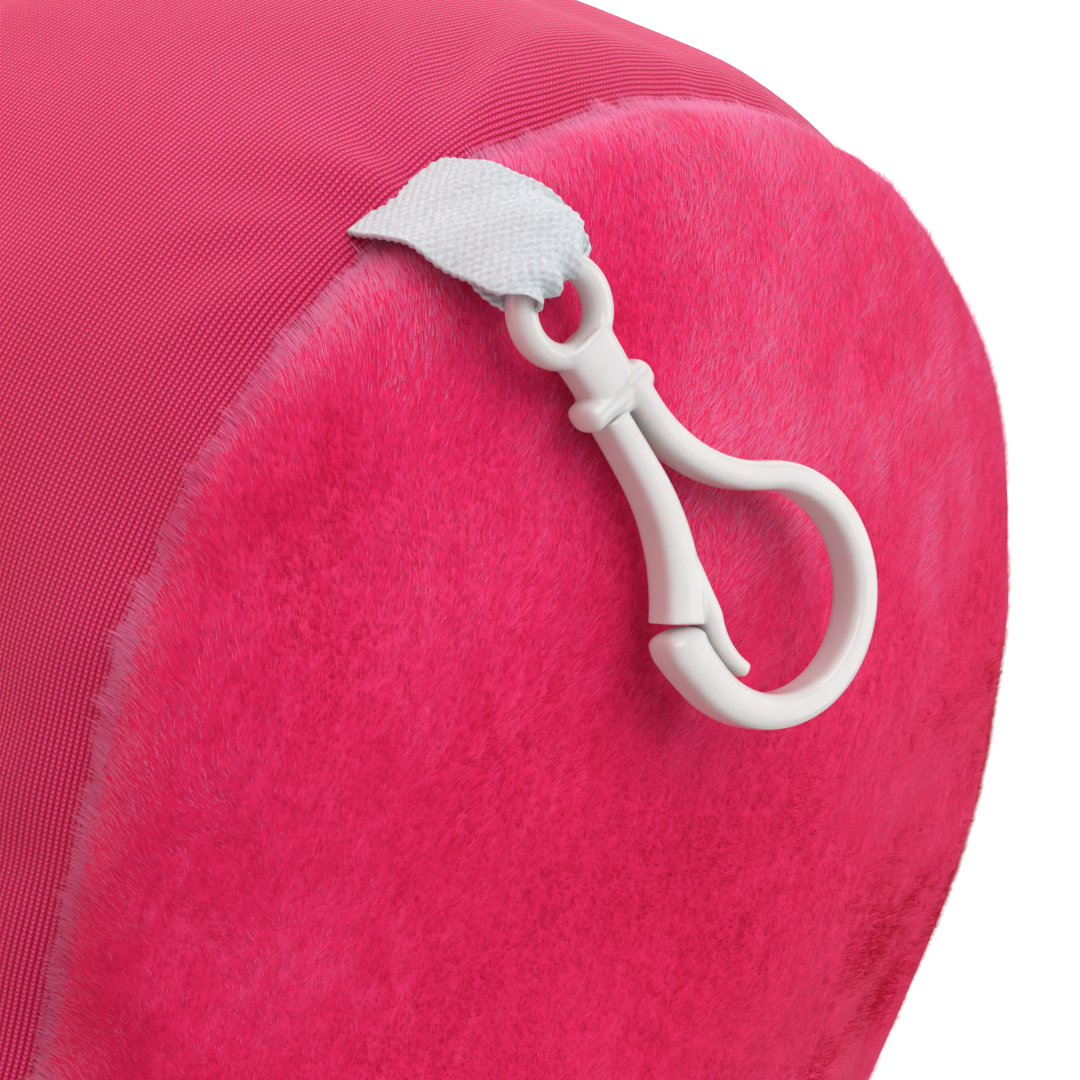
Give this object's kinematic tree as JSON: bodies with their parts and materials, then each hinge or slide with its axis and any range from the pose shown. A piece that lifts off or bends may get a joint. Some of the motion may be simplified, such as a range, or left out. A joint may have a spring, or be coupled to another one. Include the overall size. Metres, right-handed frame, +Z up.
{
  "type": "u shaped neck pillow",
  "caption": "Boxed U-shaped travel neck pillow with plush faces, a stretch-knit side strip, a woven tape loop and a moulded snap hook.",
  "frame": {"origin": "centre of the bounding box's bottom face, where the pillow rests", "axes": "+Z up out of the top face, +Y towards the back of the neck, -Y towards the arm tips; -X is the arm that carries the tape and hook"},
  "size_m": [0.32, 0.3006, 0.1096],
  "materials": {
    "beads": "matte",
    "plush": "short pile",
    "knit": "fine stretch knit",
    "thread": "matte",
    "tape": "plain weave",
    "hook": "glossy, slightly translucent"
  },
  "bodies": {
    "pillow": {"microbead_fill": "beads", "top_face_panel": "plush", "bottom_face_panel": "plush", "outer_gusset": "knit", "inner_gusset": "knit", "top_seam_thread": "thread", "bottom_seam_thread": "thread", "gusset_join_threads": "thread", "closing_stitches": "thread"},
    "tape": {"hook_tape": "tape"},
    "hook": {"snap_hook": "hook"},
    "gate": {"hook_gate": "hook"}
  },
  "joints": [
    {"name": "tape_hinge", "type": "hinge", "parent": "pillow", "child": "tape", "pos_m": [-0.04887, -0.12843, 0.0818], "axis": [0.6561, 0.7547, 0], "range_deg": [0, 60]},
    {"name": "hook_swing", "type": "hinge", "parent": "tape", "child": "hook", "pos_m": [-0.05066, -0.12687, 0.09329], "axis": [0.6561, 0.7547, 0], "range_deg": [0, 75]},
    {"name": "gate_flex", "type": "hinge", "parent": "hook", "child": "gate", "pos_m": [-0.05907, -0.11797, 0.09821], "axis": [0.2827, -0.2458, 0.9272], "range_deg": [0, 11], "stiffness_Nm_per_rad": 0.01}
  ]
}
